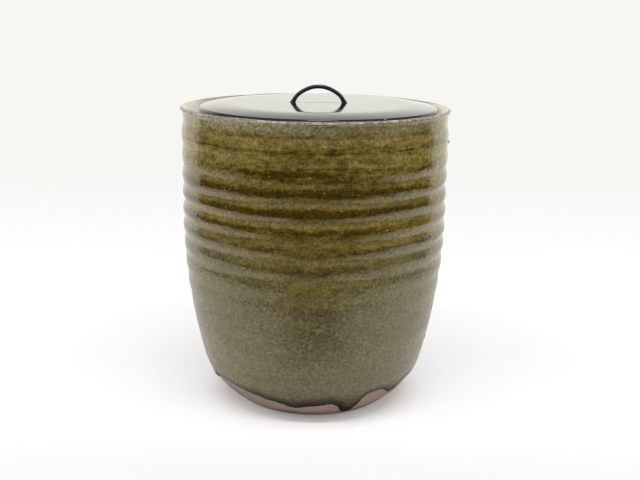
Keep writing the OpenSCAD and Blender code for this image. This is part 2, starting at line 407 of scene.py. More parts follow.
class Graph:
    """A material's or world's node tree, with short ways to add nodes."""

    def __init__(self, owner):
        owner.use_nodes = True
        self.tree = owner.node_tree
        self.tree.nodes.clear()

    def node(self, kind, inputs=None, **settings):
        made = self.tree.nodes.new(kind)
        for key, value in settings.items():
            setattr(made, key, value)
        for key, value in (inputs or {}).items():
            self.put(made.inputs[key], value)
        return made

    def put(self, socket, value):
        if isinstance(value, bpy.types.NodeSocket):
            self.tree.links.new(value, socket)
        else:
            socket.default_value = value

    def math(self, operation, a, b=0.0):
        return self.node("ShaderNodeMath", {0: a, 1: b}, operation=operation).outputs[0]

    def times(self, a, b):
        return self.math("MULTIPLY", a, b)

    def plus(self, a, b):
        return self.math("ADD", a, b)

    def minus(self, a, b):
        return self.math("SUBTRACT", a, b)

    def attribute(self, name):
        return self.node("ShaderNodeAttribute", attribute_name=name).outputs["Fac"]

    def place(self, scale=(1, 1, 1)):
        """Places on the piece, in metres, stretched."""
        found = self.node("ShaderNodeTexCoord").outputs["Object"]
        return self.node("ShaderNodeMapping", {"Vector": found, "Scale": scale}).outputs[0]

    def axes(self, vector):
        split = self.node("ShaderNodeSeparateXYZ", {"Vector": vector})
        return split.outputs["X"], split.outputs["Y"], split.outputs["Z"]

    def noise(self, cells, detail, rough):
        """Noise with so many cells to a metre, the same along all axes or given for each."""
        scale = cells
        vector = self.place()
        if isinstance(cells, tuple):
            scale = 1.0
            vector = self.place(cells)
        inputs = {"Vector": vector, "Scale": scale, "Detail": detail, "Roughness": rough}
        return self.node("ShaderNodeTexNoise", inputs).outputs["Fac"]

    def span(self, value, low, high, out_low=0.0, out_high=1.0):
        """Value mapped from one span to another, smoothly and within it."""
        inputs = {"Value": value, "From Min": low, "From Max": high, "To Min": out_low, "To Max": out_high}
        return self.node("ShaderNodeMapRange", inputs, interpolation_type="SMOOTHSTEP").outputs[0]

    def ramp(self, value, stops):
        """Colour for a value, from pairs of a place and the colour there."""
        made = self.node("ShaderNodeValToRGB", {"Fac": value})
        band = made.color_ramp
        stops = list(stops)
        while len(band.elements) < len(stops):
            band.elements.new(0.5)
        for element, (place, colour) in zip(band.elements, stops):
            element.position = place
            element.color = (*colour, 1)
        return made.outputs["Color"]

    def blend(self, share, a, b):
        made = self.node("ShaderNodeMix", data_type="RGBA")
        for socket, value in ((made.inputs["Factor"], share), (made.inputs[6], a), (made.inputs[7], b)):
            self.put(socket, (*value, 1) if isinstance(value, tuple) else value)
        return made.outputs[2]

    def scaled(self, colour, factor):
        """Colour made lighter or darker by a factor."""
        return self.node("ShaderNodeVectorMath", {0: colour, "Scale": factor}, operation="SCALE").outputs[0]

    def specks(self, cells, size, share):
        """Round specks: cells to a metre, a speck's share of a cell, and the share of the cells with one."""
        made = self.node("ShaderNodeTexVoronoi", {"Vector": self.place(), "Scale": cells})
        dot = self.span(made.outputs["Distance"], size, size * SPECK_CORE)
        chosen = self.node("ShaderNodeSeparateColor", {"Color": made.outputs["Color"]}).outputs["Red"]
        return self.times(dot, self.math("LESS_THAN", chosen, share))

    def bump(self, height, distance, normal=None):
        made = self.node("ShaderNodeBump", {"Height": height, "Distance": distance, "Strength": 1.0})
        if normal:
            self.put(made.inputs["Normal"], normal)
        return made.outputs[0]

    def surface(self, inputs):
        shader = self.node("ShaderNodeBsdfPrincipled", inputs)
        self.node("ShaderNodeOutputMaterial", {"Surface": shader.outputs[0]})


def new_material(name):
    material = bpy.data.materials.new(name)
    return material, Graph(material)


# Share of a speck with its full colour, and where a ramp over a noise has its two colours
SPECK_CORE = 0.55
NOISE_STOPS = (0.3, 0.7)

# Glaze colours: thin on a ridge, middling and thick in a groove, outside and inside, then what lies over
# them, among them a painted reflection band, a painted grey shade and a pale ash made paler as painted light
OUTSIDE_GLAZE = [(0.066, 0.040, 0.003), (0.168, 0.121, 0.019), (0.250, 0.187, 0.046)]
INSIDE_GLAZE = [(0.10, 0.075, 0.02), (0.16, 0.125, 0.04), (0.21, 0.17, 0.07)]
PALEST_GLAZE = 1.5
RUST = (0.115, 0.056, 0.010)
# Painted reflection of the table on the rings
PAINTED_REFLECTION_COLOUR = (0.203, 0.157, 0.056)
# Painted shade on the lower wall, darker and greyer
GREY_SHADE_DARK = (0.034, 0.031, 0.014)
GREY_SHADE_LIGHT = (0.150, 0.134, 0.078)
# Pale ash, made paler as painted light against the shadow under the lip
LIT_ASH = (0.482, 0.432, 0.252)
FINE_SPECK = (0.42, 0.36, 0.18)
LARGE_SPECK = (0.55, 0.46, 0.24)
POOL = (0.026, 0.020, 0.011)
LIP_GLAZE = (0.105, 0.094, 0.066)
LIP_PALE_LINE = (0.50, 0.475, 0.41)
LIP_GAP = (0.03, 0.024, 0.014)
GLAZE_SHEEN = (1.0, 0.92, 0.68)
# Dimmed reflection on the pool, painted shade
POOL_SHADED_SHEEN = (0.25, 0.23, 0.19)
# Clay colours
FOOT_CLAY = [(0.22, 0.165, 0.14), (0.32, 0.25, 0.215), (0.40, 0.32, 0.28)]
RIM_CLAY = [(0.65, 0.595, 0.50), (0.80, 0.75, 0.655), (0.88, 0.83, 0.75)]
BRICK_EDGE = (0.26, 0.085, 0.045)
TOASTED = (0.33, 0.205, 0.150)
LIP_FACE = (0.27, 0.21, 0.155)
# Grey of the rim, deeper towards the back as painted shade
GREY_RIM_SHADE = (0.29, 0.28, 0.245)
WASHED = (0.145, 0.128, 0.096)
SAND = (0.17, 0.12, 0.09)
# Lacquer colours
LACQUER_DARK = (0.007, 0.0068, 0.0066)
LACQUER_LIGHT = (0.017, 0.0155, 0.0145)
DUST = (0.10, 0.095, 0.085)

# Noises in the glaze, clay and lacquer: cells to a metre, detail, roughness
GRAIN = (620.0, 3.0, 0.7)
STREAKS = ((34, 34, 330), 4.0, 0.6)
BLOTCHES = ((60, 60, 130), 3.0, 0.6)
MOTTLE = ((150, 150, 430), 4.0, 0.65)
RUST_PATCHES = ((95, 95, 150), 3.0, 0.6)
GREY_SHADE_GRAIN = (700.0, 2.0, 0.6)
ASH_PATCHES = ((260, 260, 420), 3.0, 0.65)
PALE_LINE_PATCHES = ((420, 420, 300), 2.0, 0.6)
GLOSS_PATCHES = (160.0, 3.0, 0.6)
ORANGE_PEEL = (260.0, 2.0, 0.5)
WHEEL_LINES = ((25, 25, 900), 2.0, 0.5)
CLAY_GRAIN = (1400.0, 3.0, 0.65)
CLAY_CLOUDS = (55.0, 3.0, 0.55)
TOASTED_PATCHES = (26.0, 2.0, 0.5)
WASHED_PATCHES = ((520, 520, 520), 3.0, 0.7)
CLAY_LINES = ((30, 30, 500), 2.0, 0.5)
WOOD_GRAIN = ((18, 420, 420), 4.0, 0.6)
LACQUER_PATCHES = ((30, 300, 300), 3.0, 0.6)
LACQUER_WAVES = (45.0, 2.0, 0.5)
# Specks: cells to a metre, a speck's share of a cell, share of the cells with one
FINE_SPECKS = (720.0, 0.27, 0.55)
LARGE_SPECKS = (280.0, 0.135, 0.55)
PALE_LINE_GAPS = (330.0, 0.34, 0.5)
SAND_SPECKS = (520.0, 0.22, 0.5)
DUST_SPECKS = (420.0, 0.16, 0.3)
# Spans of a noise or height, some with the values that they are mapped to
RUST_SPAN = (0.56, 0.74, 0.0, 0.5)
ASH_SPAN = (0.18, 0.52)
GRAIN_SPAN = (0.26, 0.74, -0.44, 0.44)
PALE_LINE_SPAN = (0.45, 0.57)
GLOSS_SPAN = (0.3, 0.75, 0.10, 0.20)
BRICK_SPAN = (0.0016, 0.0002)
TOASTED_SPAN = (0.44, 0.62, 0.0, 0.6)
RIM_SPAN = (0.10, 0.16)
WASHED_SPAN = (0.66, 0.42, 0.45, 0.95)
CLAY_ROUGH_SPAN = (0.3, 0.7, 0.62, 0.85)
LACQUER_SPAN = (0.25, 0.8)
# Strengths of the noises in the glaze's tone, its scale, and the places of the colours in the ramps
STREAK_TONE, BLOTCH_TONE, MOTTLE_TONE, COARSE_MOTTLE_TONE = 1.2, 1.4, 2.0, 1.4
TONE_SCALE = 0.6
TONE_STOPS = (0.0, 0.3, 0.6, 1.0)
CLAY_STOPS = (0.25, 0.5, 0.75)
# Most that a colour takes over, and what the coarse upper glaze adds
PAINTED_REFLECTION_SHARE = 0.6
GREY_SHADE_SHARE = 0.8
LOW_LIGHT_GAIN = 0.34
COARSE_GRAIN_GAIN = 0.15
FINE_SPECK_SHARE = 0.34
LARGE_SPECK_SHARE, COARSE_SPECK_SHARE = 0.62, 0.2
LIP_GLAZE_SHARE = 0.85
PALE_LINE_GAP_SHARE = 0.8
LIP_FACE_SHARE = 0.7
SAND_SHARE = 0.5
DUST_SHARE = 0.25
# Roughness, refraction and, in metres, relief
SATIN_ROUGH = 0.15
LACQUER_SMOOTH, LACQUER_ROUGH, SEAM_ROUGH = 0.05, 0.15, 0.4
TOP_COAT = {"Coat Weight": 0.5, "Coat Roughness": 0.04, "Coat IOR": 1.5}
GLAZE_IOR, CLAY_IOR, LACQUER_IOR = 1.74, 1.45, 1.53
PEEL_DEPTH, WHEEL_LINE_DEPTH, GRAIN_DEPTH = 0.00022, 0.00010, 0.00003
CLAY_GRAIN_DEPTH, CLAY_LINE_DEPTH, BRICK_WAVE = 0.00018, 0.00012, 0.0022
WOOD_GRAIN_DEPTH, LACQUER_WAVE_DEPTH, SEAM_DEPTH = 0.000012, 0.00004, 0.0002


def glaze_material(name, colours, rim_line):
    """Glossy ash glaze that breaks dark on ridges and lies pale and thick in grooves, with painted light,
    shade and reflections laid over it.
    """
    material, g = new_material(name)
    dark, mid, light = colours
    pale = tuple(PALEST_GLAZE * part for part in light)
    coarse = g.attribute("coarse")
    top = g.attribute("top")
    # Tone from the rings, partly the glaze's own breaking and partly painted shade and reflection, then
    # painted light and shade by height, streaks and mottling
    mottle_tone = g.plus(MOTTLE_TONE, g.times(coarse, COARSE_MOTTLE_TONE))
    tone = g.times(g.minus(0.5, g.attribute("relief")), g.attribute("rings"))
    tone = g.plus(tone, g.plus(0.5, g.attribute("shade")))
    for layer, strength in ((STREAKS, STREAK_TONE), (BLOTCHES, BLOTCH_TONE), (MOTTLE, mottle_tone)):
        tone = g.plus(tone, g.times(g.minus(g.noise(*layer), 0.5), strength))
    colour = g.ramp(g.times(tone, TONE_SCALE), zip(TONE_STOPS, (dark, mid, light, pale)))
    # Rusty patches, painted reflection bands, the lower wall made darker and greyer as painted shade, and the
    # ash under the lip, made paler as painted light
    colour = g.blend(g.span(g.noise(*RUST_PATCHES), *RUST_SPAN), colour, RUST)
    colour = g.blend(g.times(g.attribute("painted_reflection"), PAINTED_REFLECTION_SHARE), colour, PAINTED_REFLECTION_COLOUR)
    grey_low_shade = g.ramp(g.noise(*GREY_SHADE_GRAIN), zip(NOISE_STOPS, (GREY_SHADE_DARK, GREY_SHADE_LIGHT)))
    colour = g.blend(g.times(g.attribute("grey_low_shade"), GREY_SHADE_SHARE), colour, grey_low_shade)
    ashen = g.span(g.noise(*ASH_PATCHES), *ASH_SPAN)
    colour = g.blend(g.times(g.attribute("ash"), ashen), colour, LIT_ASH)
    # Grain and specks, with painted light brightening the lower wall in place of the table's reflection
    grain = g.noise(*GRAIN)
    painted_low_light = g.plus(1.0, g.times(g.attribute("painted_low_light"), LOW_LIGHT_GAIN))
    grain_strength = g.plus(1.0, g.times(coarse, COARSE_GRAIN_GAIN))
    grainy = g.times(g.span(grain, *GRAIN_SPAN), grain_strength)
    colour = g.scaled(colour, g.times(g.plus(1.0, grainy), painted_low_light))
    large_share = g.plus(LARGE_SPECK_SHARE, g.times(coarse, COARSE_SPECK_SHARE))
    colour = g.blend(g.times(g.specks(*FINE_SPECKS), FINE_SPECK_SHARE), colour, FINE_SPECK)
    colour = g.blend(g.times(g.specks(*LARGE_SPECKS), large_share), colour, LARGE_SPECK)
    # Dark pool along the lower edge, and along the upper one a darker band with a broken pale line and dark
    # gaps
    pool = g.attribute("pool")
    colour = g.blend(pool, colour, POOL)
    if rim_line:
        pale_line = g.span(g.noise(*PALE_LINE_PATCHES), *PALE_LINE_SPAN)
        gaps = g.times(top, g.specks(*PALE_LINE_GAPS))
        colour = g.blend(g.times(top, LIP_GLAZE_SHARE), colour, LIP_GLAZE)
        colour = g.blend(g.times(top, pale_line), colour, LIP_PALE_LINE)
        colour = g.blend(g.times(gaps, PALE_LINE_GAP_SHARE), colour, LIP_GAP)
    # Gloss and surface, with the pool's reflection dimmed as painted shade
    rough = g.span(g.noise(*GLOSS_PATCHES), *GLOSS_SPAN)
    rough = g.plus(rough, g.times(g.attribute("satin"), SATIN_ROUGH))
    relief = g.bump(g.noise(*ORANGE_PEEL), PEEL_DEPTH)
    relief = g.bump(g.noise(*WHEEL_LINES), WHEEL_LINE_DEPTH, relief)
    relief = g.bump(grain, GRAIN_DEPTH, relief)
    g.surface({"Base Color": colour, "Roughness": rough, "IOR": GLAZE_IOR, "Normal": relief,
               "Specular Tint": g.blend(pool, GLAZE_SHEEN, POOL_SHADED_SHEEN)})
    return material


def clay_material():
    """Bare fired stoneware: pale on the rim, pinkish brown at the foot with a brick-red bottom edge, the rim
    greyed, more so towards the back as painted shade.
    """
    material, g = new_material("bare_clay")
    height = g.axes(g.place())[2]
    grain = g.noise(*CLAY_GRAIN)
    cloud = g.noise(*CLAY_CLOUDS)
    mixed = g.plus(g.times(grain, 0.5), g.times(cloud, 0.5))
    foot = g.ramp(mixed, zip(CLAY_STOPS, FOOT_CLAY))
    rim = g.ramp(mixed, zip(CLAY_STOPS, RIM_CLAY))
    wavy = g.plus(height, g.times(g.minus(cloud, 0.5), BRICK_WAVE))
    foot = g.blend(g.span(wavy, *BRICK_SPAN), foot, BRICK_EDGE)
    foot = g.blend(g.span(g.noise(*TOASTED_PATCHES), *TOASTED_SPAN), foot, TOASTED)
    colour = g.blend(g.span(height, *RIM_SPAN), foot, rim)
    colour = g.blend(g.times(g.attribute("lip"), LIP_FACE_SHARE), colour, LIP_FACE)
    # Rim greyed, more so towards the back as painted shade
    colour = g.blend(g.attribute("rim_grey_back_shade"), colour, GREY_RIM_SHADE)
    washed = g.span(g.noise(*WASHED_PATCHES), *WASHED_SPAN)
    colour = g.blend(g.times(g.attribute("washed"), washed), colour, WASHED)
    colour = g.blend(g.times(g.specks(*SAND_SPECKS), SAND_SHARE), colour, SAND)
    rough = g.span(grain, *CLAY_ROUGH_SPAN)
    relief = g.bump(grain, CLAY_GRAIN_DEPTH)
    relief = g.bump(g.noise(*CLAY_LINES), CLAY_LINE_DEPTH, relief)
    g.surface({"Base Color": colour, "Roughness": rough, "IOR": CLAY_IOR, "Normal": relief})
    return material


def lacquer_material(name, seam, tone, dull):
    """Black lacquer over turned wood, with the grain just showing."""
    material, g = new_material(name)
    grain = g.noise(*WOOD_GRAIN)
    colour = g.ramp(grain, zip(NOISE_STOPS, (LACQUER_DARK, LACQUER_LIGHT)))
    colour = g.blend(g.times(g.specks(*DUST_SPECKS), DUST_SHARE), g.scaled(colour, tone), DUST)
    patches = g.noise(*LACQUER_PATCHES)
    rough = g.span(patches, *LACQUER_SPAN, LACQUER_SMOOTH + dull, LACQUER_ROUGH + dull)
    relief = g.bump(grain, WOOD_GRAIN_DEPTH)
    relief = g.bump(g.noise(*LACQUER_WAVES), LACQUER_WAVE_DEPTH, relief)
    if seam:
        rough = g.plus(rough, g.times(g.attribute("seam"), SEAM_ROUGH))
        relief = g.bump(g.attribute("seam"), -SEAM_DEPTH, relief)
    g.surface({"Base Color": colour, "Roughness": rough, "IOR": LACQUER_IOR, "Normal": relief, **TOP_COAT})
    return material


ash_glaze = glaze_material("ash_glaze_outside", OUTSIDE_GLAZE, rim_line=True)
inner_glaze = glaze_material("ash_glaze_inside", INSIDE_GLAZE, rim_line=False)
bare_clay = clay_material()
lid_lacquer = lacquer_material("black_lacquer", seam=True, tone=1.0, dull=0.0)
# The handle's copy of the black lacquer is made lighter, as painted light, and duller
handle_lacquer = lacquer_material("black_lacquer_handle", seam=False, tone=2.6, dull=0.18)


# Outer glaze: a closed coat from its wavy lower edge to the lip, sunk a little into the clay behind

# Colouring by height, as strength, middle and half height, or as start and length; the pale band, dark band
# and low shade are painted light and shade
PALE_BAND, PALE_BAND_Z, PALE_BAND_H = 0.44, 160, 10
DARK_BAND, DARK_BAND_Z, DARK_BAND_H = 0.2, 135, 9
LOW_SHADE, LOW_SHADE_FALL = 0.1, (85, 40)
# Painted shade in the fine groove
LINE_SHADE = 0.8
# Painted dark reflection on the wall facing the front: its darkening, its cut of the reflection bands,
# height, half height
DARK_REFLECTION_SHADE, DARK_REFLECTION_CUT, DARK_REFLECTION_Z, DARK_REFLECTION_H = 0.42, 0.85, 150, 8.5
FRONT_W = 26
# Strength of the rings' tone, with its painted shade and reflection, low at the sides, low at the front, and
# above
RINGS_SIDE, RINGS_FRONT, RINGS_HIGH = 0.42, 1.2, 1.4
RINGS_RISE = (88, 24)
TONE_MEAN, TONE_LEAST, TONE_MOST = 0.8, 0.05, 1.6
# Painted reflection bands on the rings: where they start, and how fast they fade up a ridge
REFLECTION_START, REFLECTION_SLOPE = 1.5, 2.2
POOL_START, POOL_H, POOL_ADDED_H = 1.35, 3.6, 4.5
POOL_SHARE, POOL_ADDED_SHARE = 0.8, 0.2
LIP_BAND_H = 1.4
# Pale ash under the lip, its colour partly painted light
ASH_Z, ASH_H = 167.5, 7
ASH_SIDE, ASH_RIGHT_LESS = 0.5, 0.2
ASH_TURN, ASH_W = 15, 24
COARSE_RISE = (138, 12)
SATIN_FALL = (125, 70)
# Painted shade on the lower wall: its top, and how far it fades at the sides and at the front
GREY_SHADE_Z, GREY_SHADE_SIDE_H, GREY_SHADE_FRONT_H = 126, 32, 78
# Painted light on the lower wall, in place of the table's reflection: its top at the sides and at the front,
# its fade, and its rise from the foot
LOW_LIGHT_SIDE_Z, LOW_LIGHT_FRONT_Z, LOW_LIGHT_H = 128, 108, 34
LOW_LIGHT_RISE = (22, 22)


def sag(degrees, angle, left, right):
    off = wrapped(degrees - angle)
    width = np.where(off < 0, left, right)
    return np.exp(-np.abs(off / width) ** SAG_SHAPE)


def groove_fill(theta, z):
    """Extra glaze in the rings' grooves, which rounds them, more so towards the foot."""
    share, depth = ring_place(theta, z)
    soft = mix(FILL_LOW, FILL_HIGH, rise(z, *FILL_RISE))
    ridge = np.sin(math.pi * share)
    fill = np.sqrt(ridge ** 2 + soft ** 2) - ridge - np.sqrt(1 + soft ** 2) + 1
    return np.where(z < GROOVES[0], 0, depth * fill * fall(z, NECK_Z, FILL_FADE))


def coat_thickness(theta, z, above, below, bead, line):
    thick = GLAZE_T * (1 + unevenness(theta, z, COAT_NOISE))
    thick = thick * mix(1, TOP_THIN, rise(z, JAR_H - TOP_THIN_H, TOP_THIN_H))
    thick = thick + (BEAD_T + BEAD_ADDED_T * bead) * bell(above, 0, BEAD_H + BEAD_ADDED_H * bead)
    thick = thick * quarter_round(above / (ROLL_H + ROLL_ADDED_H * bead))
    thick = thick * quarter_round(below / TOP_ROLL_H, TOP_LEAST)
    for angle, height, width in LUMPS:
        arc = np.radians(wrapped(np.degrees(theta) - angle)) * WALL_R
        thick = thick + LUMP_T * bell(np.hypot(arc, z - height), 0, width / LUMP_FALL)
    return thick - FINE_GROOVE_T * line + groove_fill(theta, z)


def coat_colouring(theta, z, above, below, bead, line):
    degrees = np.degrees(theta)
    level = 0 * theta
    relief, strength = ring_relief(theta, z)
    facing = bell(wrapped(degrees), 0, FRONT_W)
    # Painted dark reflection on the wall facing the front
    dark_reflection = facing * bell(z, DARK_REFLECTION_Z, DARK_REFLECTION_H)
    # Painted light and shade: a pale band, a dark band, darker towards the foot, in the fine groove and
    # facing the front
    shade = PALE_BAND * bell(z, PALE_BAND_Z, PALE_BAND_H) - DARK_BAND * bell(z, DARK_BAND_Z, DARK_BAND_H)
    shade = shade - LOW_SHADE * fall(z, *LOW_SHADE_FALL) - LINE_SHADE * line - DARK_REFLECTION_SHADE * dark_reflection
    # Ring tone, partly painted shade and reflection, stronger facing the front
    rings = strength * mix(mix(RINGS_SIDE, RINGS_FRONT, facing), RINGS_HIGH, rise(z, *RINGS_RISE))
    uneven = TONE_MEAN + unevenness(theta, z, TONE_NOISE)
    # Painted reflection bands, strongest in the grooves
    painted_reflection = smooth(REFLECTION_START - REFLECTION_SLOPE * relief) * np.clip(rings * uneven, 0, 1)
    pool_h = POOL_H + POOL_ADDED_H * bead + unevenness(theta, level, POOL_NOISE)
    ash = rise(z, ASH_Z + unevenness(theta, level, ASH_NOISE), ASH_H)
    ash_side = ASH_SIDE - ASH_RIGHT_LESS * np.clip(np.sin(theta), 0, 1)
    return {
        "relief": relief,
        "rings": rings * np.clip(uneven, TONE_LEAST, TONE_MOST),
        "shade": shade,
        "painted_reflection": painted_reflection * (1 - DARK_REFLECTION_CUT * dark_reflection),
        "pool": smooth(POOL_START - above / pool_h) * (POOL_SHARE + POOL_ADDED_SHARE * bead),
        "top": smooth(1 - below / LIP_BAND_H),
        "ash": ash * mix(ash_side, 1, bell(wrapped(degrees + ASH_TURN), 0, ASH_W)),
        "coarse": rise(z, *COARSE_RISE),
        "satin": fall(z, *SATIN_FALL),
        # Painted shade: the lower wall darker and greyer, fading upwards over a longer height at the front
        "grey_low_shade": fall(z, GREY_SHADE_Z, mix(GREY_SHADE_SIDE_H, GREY_SHADE_FRONT_H, facing)),
        # Painted light on the lower wall, ending lower at the front
        "painted_low_light": fall(z, mix(LOW_LIGHT_SIDE_Z, LOW_LIGHT_FRONT_Z, facing), LOW_LIGHT_H) * rise(z, *LOW_LIGHT_RISE),
    }


def glaze_coat():
    theta = around(COLUMNS)[None, :]
    degrees = np.degrees(theta)
    level = 0 * theta
    hang = np.sum([depth * sag(degrees, angle, left, right) for angle, depth, left, right in SAGS], 0)
    edge = np.maximum(EDGE_H - hang + unevenness(theta, level, EDGE_NOISE), EDGE_LEAST)
    top = GLAZE_TOP + unevenness(theta, level, TOP_NOISE)
    step = np.linspace(0, 1, COAT_ROWS)[:, None]
    z = mix(edge, top, step - COAT_ROW_PULL * np.sin(TAU * step))
    above, below = z - edge, top - z
    bead = np.clip(hang / BEAD_SAG, 0, 1)
    groove = FINE_GROOVE_Z + unevenness(theta, level, GROOVE_NOISE)
    line = bell(z, groove, FINE_GROOVE_W) * (FINE_GROOVE_EVEN + unevenness(theta, level, LINE_NOISE))
    outer = clay_radius(theta, z) + coat_thickness(theta, z, above, below, bead, line)
    # Back of the coat, hidden in the wall
    back_z = mix(edge, top, np.linspace(1, 0, BACK_ROWS)[:, None])
    back = plain_radius(back_z) - RING_DEPTH - BACK_SUNK
    back = np.where(back_z < TURN_H, turn_radius(back_z) - BACK_TURN_SUNK, back)
    back = np.where(back_z > NECK_Z, WALL_R - NECK_IN - BACK_NECK_SUNK, back)
    grid = np.concatenate([lathe_grid(theta, outer, z), lathe_grid(theta, back, back_z)])
    piece = grid_piece("jar_glaze", grid, ash_glaze, "joined")
    set_attributes(piece, coat_colouring(theta, z, above, below, bead, line))
    return piece


# Clay: foot, base, rim and the hidden core of the wall

# Rim: reach of the wear, tones by the degrees from the back, with the grey towards the back being painted
# shade, and the lip's outer face
WORN_REACH = 3.2
RIM_GREY_LEAST, BACK_SHADE_ADDED, BACK_SHADE_FALL = 0.24, 0.66, (85, 25)
WASHED_RISE, WASHED_IN = (102, 26), 1.0
LIP_FACE_W, LIP_FACE_Z, LIP_FACE_FADE = 2.2, JAR_H + 1.2, 0.3
THROAT_EDGE = 0.6


def inside(coat):
    """Profile of the inside from the middle of the floor to the throat, moved in by a coat."""
    skin, low = WALL + coat, FLOOR_T + coat
    foot_z, top_z = low + TURN_H, THROAT_Z - GALLERY_H
    foot_r, top_r = (float(plain_radius(z)) - skin for z in (foot_z, top_z))
    floor_r = np.linspace(AXIS_R, foot_r - TURN_H, FLOOR_POINTS)
    wall_z = np.linspace(foot_z, top_z, INSIDE_POINTS)[1:]
    turn_corner = (float(plain_radius(low)) - skin, low)
    turn = bend((foot_r - TURN_H, low), turn_corner, (foot_r, foot_z), INSIDE_STEPS)
    gallery_corner = (top_r, mix(top_z, THROAT_Z, CORNER_PULL))
    gallery = bend((top_r, top_z), gallery_corner, (MOUTH_R, THROAT_Z - coat), INSIDE_STEPS)
    return np.vstack([
        np.stack([floor_r, np.full_like(floor_r, low)], 1), turn[1:],
        np.stack([plain_radius(wall_z) - skin, wall_z], 1), gallery[1:]])


def clay_body():
    theta = around(CLAY_COLUMNS)[None, :]
    foot_z = np.linspace(0, TURN_H, FOOT_POINTS)[1:]
    foot = np.stack([turn_radius(foot_z), foot_z], 1)
    core_z = np.linspace(TURN_H + CORE_GAP, NECK_Z - CORE_GAP, CORE_POINTS)
    core = np.stack([plain_radius(core_z) - RING_DEPTH - CORE_SUNK, core_z], 1)
    flat_r = BASE_R - BASE_EDGE
    base = bend((AXIS_R, 0), (BASE_MIDDLE_R, 0), (flat_r, 0), BASE_STEPS)
    base_edge = bend((flat_r, 0), (BASE_R, 0), foot[1], BASE_EDGE_STEPS)
    crest_z = JAR_H + CREST_RISE
    seat_corner = (mix(SEAT_R, CREST_MIDDLE_R, 0.5), crest_z)
    seat = bend((CREST_MIDDLE_R, crest_z), seat_corner, (SEAT_R, SEAT_Z), SEAT_STEPS)
    throat = rounded([(SEAT_R, SEAT_Z), (MOUTH_R, SEAT_Z), (MOUTH_R, THROAT_Z)], [0, THROAT_EDGE, 0])
    profile = np.vstack([
        base, base_edge[1:], foot[2:], core, NECK_CURVE, LIP_CREST, seat[1:], throat[1:],
        inside(INNER_CLAY_COAT)[::-1][1:]])
    radius, height = profile[:, :1], profile[:, 1:]
    bare = (np.abs(height - JAR_H) < WORN_REACH) & (radius > SEAT_R)
    worn = unevenness(theta, np.full_like(theta, WORN_LEVEL), WORN_NOISE)
    grid = lathe_grid(theta, radius, height + np.where(bare, worn, 0))
    piece = grid_piece("jar_clay", grid, bare_clay, "closed")
    from_back = np.abs(np.degrees(theta) - 180)
    rim = (height > NECK_Z) * (radius > MOUTH_R)
    lip_face = (radius > LIP_R - LIP_FACE_W) * fall(height, LIP_FACE_Z, LIP_FACE_FADE) * (height > NECK_Z)
    set_attributes(piece, {
        "lip": np.broadcast_to(lip_face, grid.shape[:2]),
        # Rim greyed, more so towards the back as painted shade
        "rim_grey_back_shade": (RIM_GREY_LEAST + BACK_SHADE_ADDED * fall(from_back, *BACK_SHADE_FALL)) * rim,
        "washed": rise(from_back, *WASHED_RISE) * rim * (radius > SEAT_R + WASHED_IN),
    })
    return piece


# Inner glaze, with faint rings on the wall and a swirl on the floor

INNER_RING_T, INNER_RING_PITCH = 0.32, 9.0
INNER_RINGS_RISE, INNER_RINGS_FALL = (14, 25), (THROAT_Z - 4, 10)
SWIRL_T, SWIRL_PITCH = 0.25, 8.0
SWIRL_RISE, SWIRL_FALL = (3, 8), (20, 8)


def inner_coat():
    theta = around(INNER_COLUMNS)[None, :]
    front, back = inside(GLAZE_T), inside(-INNER_BACK_SUNK)
    radius, height = front[:, :1], front[:, 1:]
    rings = INNER_RING_T * np.sin(TAU * height / INNER_RING_PITCH + theta)
    rings = rings + unevenness(theta, height, INNER_NOISE)
    rings = rings * rise(height, *INNER_RINGS_RISE) * fall(height, *INNER_RINGS_FALL)
    swirl = SWIRL_T * np.sin(TAU * radius / SWIRL_PITCH - theta)
    swirl = swirl * rise(radius, *SWIRL_RISE) * fall(height, *SWIRL_FALL)
    grid = np.concatenate([
        lathe_grid(theta, radius + rings, height + swirl),
        lathe_grid(theta, back[::-1, :1], back[::-1, 1:])])
    piece = grid_piece("jar_inner_glaze", grid[::-1], inner_glaze, "closed")
    relief = (0.5 + np.concatenate([rings, np.zeros((len(back), INNER_COLUMNS))]))[::-1]
    set_attributes(piece, {"relief": relief, "rings": np.ones_like(relief)})
    return piece


# Lid

